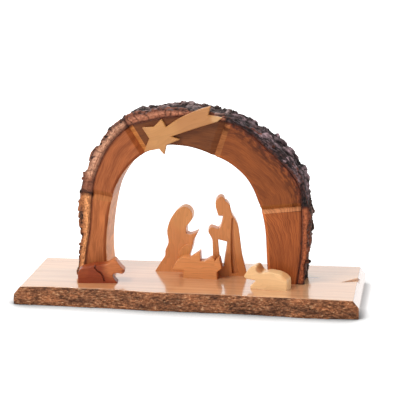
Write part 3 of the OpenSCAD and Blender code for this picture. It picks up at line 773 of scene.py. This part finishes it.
class STABLE_OT_arch_bark(bpy.types.Operator):
    """Builds the bark on the arch: a sawn ring in front and behind, and rough plates outside."""
    bl_idname = "stable.arch_bark"
    bl_label = "Arch bark"

    LENGTHS = {
        "bark_left_leg": BarkLook("#DE9A64", "#A25C36", "#8A5C44", 0.2, 0.3, 0.86, 1.4, 1.0, 0.6, 5.0, 0.48),
        "bark_left_haunch": BarkLook("#C8967A", "#864C36", "#7A5A54", 0.8, 0.25, 0.85, 3.0, 15.0, 0.8, 6.0, 0.62),
        "bark_crown": BarkLook("#AC7258", "#6E3A28", "#7E6C6A", 1.0, 0.1, 0.92, 1.6, 1.0, 0.85, 9.0, 0.62),
        "bark_right_haunch": BarkLook("#8E5038", "#56302A", "#7A6468", 0.1, 0.6, 0.12, 2.0, 1.0, 1.0, 1.0, 0.62),
        "bark_right_leg": BarkLook("#A65E3A", "#603424", "#6A524A", 0.2, 0.3, 0.9, 1.4, 1.0, 0.85, 5.0, 0.62),
    }
    # Width and thickness of a flake in mm, whose length a user sets, and over how many mm the relief fades at the
    # ends, where the mitred faces meet
    FLAKE_WIDTH, FLAKE_THICKNESS, END_FADE = 6.5, 1.9, 1.5

    def execute(self, context):
        sizes, colours = context.scene.stable_sizes, context.scene.stable_colours
        for node, look in self.LENGTHS.items():
            material = bark_material("larch_%s_sawn_and_weathered" % node, look, colours.fissure[:])
            from_bark(node, node.replace("bark_", "arch_bark_"), material, sizes.bark_grid,
                      lambda places, normals: self.carve(places, normals, sizes, look))
        return {"FINISHED"}

    def carve(self, places, normals, sizes, look):
        along, out, outward = on_arch(places)
        depth = (places[:, 1] - ARCH_FRONT) / MM
        spot = np.stack([along, depth, out], 1)
        facing = normals[:, 0] * outward[:, 0] + normals[:, 2] * outward[:, 1]
        outside = ease(0.25, 0.75, facing)
        ring = ease(0.3, 0.8, np.abs(normals[:, 1])) * (1 - outside)
        rough = fractal(spot / 2.0, 4)
        swell = fractal(spot / 13 + 3.7, 2)

        # Outside: thin flakes on the coarse plates, each flake at its own height, with fissures between them
        border, chance = cells((spot + 1.5 * fractal(spot / 6 + 8.1, 2)[:, None])
                               / (sizes.flake_length / MM, self.FLAKE_WIDTH, self.FLAKE_THICKNESS))
        fissure = 1 - ease(0.03, 0.28, border)
        flakes = -sizes.flake_depth / MM * fissure + 1.2 * (chance - 0.5) + 0.3
        rise = flakes + 0.5 * rough + 0.5
        hollow = self.hollow(along, depth, out, facing)

        # Ring: the outer part of its width is weathered, with layers that split off along the arch
        width = np.maximum(self.bark_width(along, depth, out), 1.0)
        rind = ease(-0.16, 0.16, out / width - look.sawn_share + 0.35 * swell + 0.25 * rough)
        split = 1 - ease(0.03, 0.2, np.abs(fractal(spot / (9, 30, 1.9), 3)))
        crack = self.cracks(along, out, sizes.crack_pitch / MM) * look.cracked
        peel = np.maximum(look.flaked, rind) * split
        sawn = sizes.crack_depth / MM * crack * (1 - rind)
        height = np.minimum(rind * (0.8 * flakes + 0.4 * rough - 0.4) - 0.9 * peel - sawn, 0.6)

        # Fissures, hollows, peeled splits and cracks are marked deep, and the material paints them near black:
        # painted shade in the deep places of the relief
        gap = fissure * ease(0.15, 0.5, fractal(spot / 6 + 2.2, 2) + 0.5)
        deep_out = np.clip(0.9 * gap + ease(0.8, 3.0, hollow), 0, 1)
        deep_ring = np.clip(rind * gap + 0.8 * peel * look.flaked + crack * (1 - rind) * 0.6, 0, 1)
        rind_outside = ease(0.6, 1.3, (depth + 5 * swell + 2 * rough) / look.chipped_mm)
        start = along - along.min()
        end = np.minimum(start, along.max() - along)
        return ((outside * rise + ring * height) * ease(0.0, self.END_FADE, end),
                {"flake": chance, "deep": outside * deep_out + ring * deep_ring,
                 "rind": np.clip(outside * rind_outside + (1 - outside) * rind, 0, 1),
                 "share": out / width, "out": out, "along": along, "start": start, "end": end})

    def cracks(self, along, out, pitch):
        """How deep each point lies in a radial crack, from 0 to 1; cracks fade towards the wood."""
        phase = along / pitch + 0.7 * fractal(np.stack([along / 9, out / 7, out * 0], 1), 2)
        chance = np.array([noise.cell(Vector((math.floor(p), 3.3, 0.5))) for p in phase])
        crack = (1 - ease(0.05, 0.17, np.abs(phase - np.floor(phase) - 0.5))) * ease(0.0, 0.3, chance)
        return crack * ease(0.3, 1.2, out)

    def bark_width(self, along, depth, out):
        """The bark's thickness in mm on its front face, from the outermost point of each span of the arch."""
        span_mm, front_mm = 3, 4
        run = (along - along.min()) / span_mm
        span = np.floor(run).astype(int)
        front = depth < front_mm
        widest = np.array([out[front & (span == k)].max(initial=0) for k in range(span.max() + 1)])
        return np.interp(run - 0.5, np.arange(len(widest)), widest)

    def hollow(self, along, depth, out, facing):
        """How many mm each point lies under the mean of the bark's outside within 7 mm of it."""
        cell_mm, reach = 1.4, 5
        row = np.floor((along - along.min()) / cell_mm).astype(int)
        column = np.floor((depth - depth.min()) / cell_mm).astype(int)
        total = np.zeros((row.max() + 1, column.max() + 1))
        count = np.full(total.shape, 1e-6)
        outer = facing > 0.25
        np.add.at(total, (row[outer], column[outer]), out[outer])
        np.add.at(count, (row[outer], column[outer]), 1.0)
        box = np.ones(2 * reach + 1)
        for axis in (0, 1):
            total, count = (np.apply_along_axis(np.convolve, axis, grid, box, "same") for grid in (total, count))
        return (total / count)[row, column] - out


class STABLE_OT_comet(bpy.types.Operator):
    """Builds the pale comet that is glued to the crown."""
    bl_idname = "stable.comet"
    bl_label = "Comet"

    def execute(self, context):
        sizes, colours = context.scene.stable_sizes, context.scene.stable_colours
        # Lime board, fret-sawn and sanded: pale and even, with long fine fibres along the tail
        wood = board_wood("lime_comet_sanded", colours.comet[:], "x", "Z", 5.0, 0.05,
                          # The paler, whiter spot at the comet's right end, the tail's end, is a painted highlight
                          turn=math.radians(24), blots=[blot("comet", 0.96, 0.76, 7, (1.25, 1.6, 2.1)),
                                                        blot("comet", 0.25, 0.42, 16, (1.12, 1.2, 1.2))])
        from_board("comet", wood, sizes.comet_round)
        return {"FINISHED"}


class STABLE_OT_figures(bpy.types.Operator):
    """Builds the kneeling and the standing figure with their carved folds."""
    bl_idname = "stable.figures"
    bl_label = "Figures"

    def execute(self, context):
        sizes, colours = context.scene.stable_sizes, context.scene.stable_colours
        # Alder board, fret-sawn, sanded and varnished: warm orange brown with faint upright growth lines
        wood = board_wood("alder_figure_varnished", colours.figure[:], "z", "X", 4.0, 0.08,
                          blots=[blot("kneeling_figure", 0.68, 0.85, 13, (1.04, 1.14, 1.16)),
                                 blot("kneeling_figure", 0.8, 0.28, 8, (1.06, 1.16, 1.2)),
                                 # The standing figure darker towards its foot: painted shade
                                 blot("standing_figure", 0.5, 0.1, 16, (0.86, 0.78, 0.72))])
        from_board("kneeling_figure", wood, sizes.figure_round,
                   carve=lambda skin: self.raise_lap(skin, sizes.lap_rise))
        from_board("standing_figure", wood, sizes.figure_round,
                   carve=lambda skin: self.open_fold(skin, sizes))
        return {"FINISHED"}

    def raise_lap(self, skin, rise):
        """Brings the flat of the lap, which the CAD node has as a recess, forward over the robe."""
        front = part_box("kneeling_figure")[0].y
        for v in skin.verts:
            if 0.3 * MM < v.co.y - front < 3 * MM:
                v.co.y = front - rise
        bmesh.ops.recalc_face_normals(skin, faces=skin.faces)

    def open_fold(self, skin, sizes):
        """Makes the straight groove of the fold one that opens and deepens towards its foot, steep on its left
        and sloping up to the robe on its right."""
        ahead, origin = front_plane(skin)
        right = Vector((0, 0, 1)).cross(ahead)

        def behind(v):
            return -(v.co - origin).dot(ahead)
        bottom = sorted((v for v in skin.verts if 1.5 * MM < behind(v) < 3 * MM), key=lambda v: v.co.z)
        low, high = bottom[0].co.z, bottom[-1].co.z
        for pair in zip(bottom[::2], bottom[1::2]):
            left, end = sorted(pair, key=lambda v: v.co.dot(right))
            rim = next(e.other_vert(end) for e in end.link_edges if behind(e.other_vert(end)) < TOUCHING)
            foot = (1 - (left.co.z - low) / (high - low)) ** 1.3
            left.co -= ahead * sizes.fold_depth * foot
            rim.co += right * foot * sizes.fold_width
            end.co += right * foot * (sizes.fold_width - 0.6 * MM) - ahead * 0.4 * foot * MM
        bmesh.ops.recalc_face_normals(skin, faces=skin.faces)


class STABLE_OT_manger(bpy.types.Operator):
    """Builds the manger with its straw and the infant's place."""
    bl_idname = "stable.manger"
    bl_label = "Manger"

    def execute(self, context):
        sizes, colours = context.scene.stable_sizes, context.scene.stable_colours
        # The same alder laid on its side, so the growth lines run level
        wood = board_wood("alder_manger_varnished", shade(colours.figure[:], 1.12), "x", "Z", 2.6, 0.1)
        from_board("manger", wood, sizes.figure_round)
        return {"FINISHED"}


class STABLE_OT_sheep(bpy.types.Operator):
    """Builds the dark sheep on the left and the pale sheep on the right."""
    bl_idname = "stable.sheep"
    bl_label = "Sheep"

    def execute(self, context):
        sizes, colours = context.scene.stable_sizes, context.scene.stable_colours
        # Cherry board, fret-sawn and varnished: red brown with paler sapwood at the head
        cherry = board_wood("cherry_sheep_varnished", colours.left_sheep[:], "x", "Z", 3.0, 0.14, coat=0.2,
                            blots=[blot("sheep_left", 0.86, 0.7, 13, (2.0, 3.7, 5.2)),
                                   blot("sheep_left", 0.12, 0.5, 6, (1.15, 1.3, 1.3)),
                                   blot("sheep_left", 0.97, 0.5, 1.6, (0.6, 0.5, 0.5))])
        # Lime board, fret-sawn and varnished: pale yellow. The brown spot at the ear is painted shade, and the
        # browner spot at the top of its right end a painted reflection of the dark arch behind it
        lime = board_wood("lime_sheep_varnished", colours.right_sheep[:], "x", "Z", 3.5, 0.05,
                          blots=[blot("sheep_right", 0.34, 0.86, 3.6, (0.6, 0.4, 0.3)),
                                 blot("sheep_right", 0.9, 0.62, 4.0, (0.9, 0.75, 0.65))])
        from_board("sheep_left", cherry, sizes.sheep_round)
        from_board("sheep_right", lime, sizes.sheep_round)
        return {"FINISHED"}


class STABLE_OT_fasteners(bpy.types.Operator):
    """Gives the hidden dowels and the leg screws their materials."""
    bl_idname = "stable.fasteners"
    bl_label = "Dowels and screws"

    def execute(self, context):
        # Beech rod, turned smooth, left bare
        beech = board_wood("beech_dowel_bare", linear("#D6B48C"), "z", "X", 2.0, 0.1, coat=0.0)
        # Steel wire, cold headed and zinc plated: a bright grey metal with a faint drawn grain
        steel, tree = new_material("steel_screw_zinc_plated")
        drawn = lines_from(tree, coordinates(tree), 0.3, 4.0, "z", 2.0)
        tone = ramp(tree, drawn, [(0.3, linear("#A8A69C")), (0.7, linear("#CFCDC4"))])
        close(tree, tone, ramp(tree, drawn, [(0.3, 0.32), (0.7, 0.45)]), drawn, 0.01, Metallic=1.0)
        for node, material in (("joint_dowels", beech), ("leg_screws", steel)):
            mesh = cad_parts[node].data
            if not mesh.materials:
                mesh.materials.append(material)
            for k in range(len(mesh.materials)):
                mesh.materials[k] = material
        return {"FINISHED"}


class STABLE_OT_stage(bpy.types.Operator):
    """Sets the pale floor, the soft studio light and the camera."""
    bl_idname = "stable.stage"
    bl_label = "Stage"

    # Half the floor's width in metres, and how far it lies under the slab
    FLOOR_REACH, FLOOR_GAP = 6.0, 0.05 * MM
    # Name, place and width in metres, and watts of each softbox; all look at a point in the arch's opening
    LAMPS = (("high_softbox", (-0.52, -0.65, 1.06), 0.5, 11.5), ("front_softbox", (-0.30, -1.55, 0.30), 0.8, 4.5))
    LAMP_TARGET = Vector((0, 0, 0.06))
    # Degrees to the right of the front and up, distance and target in metres, and lens and sensor in mm
    CAMERA_TURN, CAMERA_RISE, CAMERA_DISTANCE = 7.96, 12.0, 1.2955
    CAMERA_TARGET = Vector((5.2, 2.25, 71.4)) * MM
    LENS, SENSOR = 159.26, 36.0

    def execute(self, context):
        self.floor()
        self.world()
        for lamp in self.LAMPS:
            self.lamp(*lamp)
        self.camera()
        bpy.context.scene.view_settings.view_transform = "Standard"
        return {"FINISHED"}

    def floor(self):
        skin = bmesh.new()
        bmesh.ops.create_grid(skin, x_segments=2, y_segments=2, size=self.FLOOR_REACH)
        mesh = to_mesh(skin, "studio_floor")
        mesh.transform(Matrix.Translation((0, 0, -self.FLOOR_GAP)))
        floor = shown("studio_floor", mesh)
        # White paper sweep, matt: it takes the object's shadow, and far away it turns into the white background
        material, tree = new_material("white_paper_sweep")
        path = add(tree, "LightPath").outputs
        seen = maths(tree, "MAXIMUM", path["Is Camera Ray"], path["Is Glossy Ray"])
        seen = maths(tree, "MAXIMUM", seen, path["Is Transmission Ray"])
        place = coordinates(tree)
        far = add(tree, "VectorMath", {0: place}, operation="LENGTH").outputs["Value"]
        glow = ranged(tree, far, 0.2, 0.7, 0.3, 0.9)
        # Ambient occlusion darkens the paper and its glow near the object: a painted contact shadow, stronger in
        # front of the slab than beside and behind it
        near = add(tree, "AmbientOcclusion", {"Distance": 45 * MM}, samples=8).outputs["AO"]
        near = maths(tree, "POWER", near, ranged(tree, axis_of(tree, place, "Y"), -0.05, -0.02, 2.5, 0.6))
        paper = add(tree, "BsdfDiffuse", {"Color": mixed(tree, near, 0, linear("#EDEDED"))})
        strength = maths(tree, "MULTIPLY", maths(tree, "MULTIPLY", seen, glow), near)
        light = add(tree, "Emission", {"Color": opaque(1), "Strength": strength})
        both = add(tree, "AddShader", {0: paper.outputs[0], 1: light.outputs[0]})
        add(tree, "OutputMaterial", {"Surface": both.outputs[0]})
        mesh.materials.append(material)

    def world(self):
        """A white room, darker in front of the object, which the camera sees as plain white."""
        world = bpy.data.worlds.new("white_studio")
        bpy.context.scene.world = world
        world.use_nodes = True
        tree = world.node_tree
        tree.nodes.clear()
        path = add(tree, "LightPath").outputs
        way = coordinates(tree, "Generated")
        behind = axis_of(tree, way, "Y")
        soft = maths(tree, "MULTIPLY", ranged(tree, behind, -0.4, 0.4, 0.25, 1.35),
                     ranged(tree, axis_of(tree, way, "X"), -1.0, 1.0, 1.2, 0.8))
        window = add(tree, "VectorMath", {0: way, 1: (0.85, 0.5, 0.0)}, operation="DOT_PRODUCT")
        soft = maths(tree, "MULTIPLY", soft, ranged(tree, window.outputs["Value"], 0.3, 0.9, 1.0, 1.6))
        mirrored = ranged(tree, behind, -0.4, 0.2, 0.3, 1.08)
        shiny = maths(tree, "MAXIMUM", path["Is Glossy Ray"], path["Is Transmission Ray"])
        strength = add(tree, "Mix", {0: shiny, 2: soft, 3: mirrored}).outputs[0]
        strength = add(tree, "Mix", {0: path["Is Camera Ray"], 2: strength, 3: 1.0}).outputs[0]
        white = add(tree, "Background", {"Color": opaque(1), "Strength": strength})
        add(tree, "OutputWorld", {"Surface": white.outputs[0]})

    def lamp(self, name, place, size, watts):
        data = bpy.data.lights.new(name, "AREA")
        data.shape = "SQUARE"
        data.size = size
        data.energy = watts
        lamp = shown(name, data)
        lamp.location = place
        lamp.rotation_euler = (self.LAMP_TARGET - Vector(place)).to_track_quat("-Z", "Y").to_euler()

    def camera(self):
        turn, rise = math.radians(self.CAMERA_TURN), math.radians(self.CAMERA_RISE)
        back = Vector((math.sin(turn) * math.cos(rise), -math.cos(turn) * math.cos(rise), math.sin(rise)))
        data = bpy.data.cameras.new("catalogue_camera")
        data.sensor_width = self.SENSOR
        data.lens = self.LENS
        data.clip_end = 20.0
        camera = shown("catalogue_camera", data)
        camera.location = self.CAMERA_TARGET + back * self.CAMERA_DISTANCE
        camera.rotation_euler = (-back).to_track_quat("-Z", "Y").to_euler()
        bpy.context.scene.camera = camera


PIECES = (STABLE_OT_slab, STABLE_OT_slab_bark, STABLE_OT_arch, STABLE_OT_arch_bark, STABLE_OT_comet,
          STABLE_OT_figures, STABLE_OT_manger, STABLE_OT_sheep, STABLE_OT_fasteners, STABLE_OT_stage)


class STABLE_PT_panel(bpy.types.Panel):
    """Lists the sizes, colours and pieces of the stable."""
    bl_idname = "STABLE_PT_panel"
    bl_label = "Nativity stable"
    bl_space_type = "VIEW_3D"
    bl_region_type = "UI"
    bl_category = "Stable"

    def draw(self, context):
        for group in (context.scene.stable_sizes, context.scene.stable_colours):
            for key in group.__annotations__:
                self.layout.prop(group, key)
        for piece in PIECES:
            self.layout.operator(piece.bl_idname)


CLASSES = (StableSizes, StableColours) + PIECES + (STABLE_PT_panel,)


def register():
    for made in CLASSES:
        bpy.utils.register_class(made)
    bpy.types.Scene.stable_sizes = bpy.props.PointerProperty(type=StableSizes)
    bpy.types.Scene.stable_colours = bpy.props.PointerProperty(type=StableColours)


def unregister():
    del bpy.types.Scene.stable_sizes
    del bpy.types.Scene.stable_colours
    for made in reversed(CLASSES):
        bpy.utils.unregister_class(made)


def main():
    register()
    bpy.ops.stable.slab()
    bpy.ops.stable.slab_bark()
    bpy.ops.stable.arch()
    bpy.ops.stable.arch_bark()
    bpy.ops.stable.comet()
    bpy.ops.stable.figures()
    bpy.ops.stable.manger()
    bpy.ops.stable.sheep()
    bpy.ops.stable.fasteners()
    bpy.ops.stable.stage()


if __name__ == "__main__":
    main()
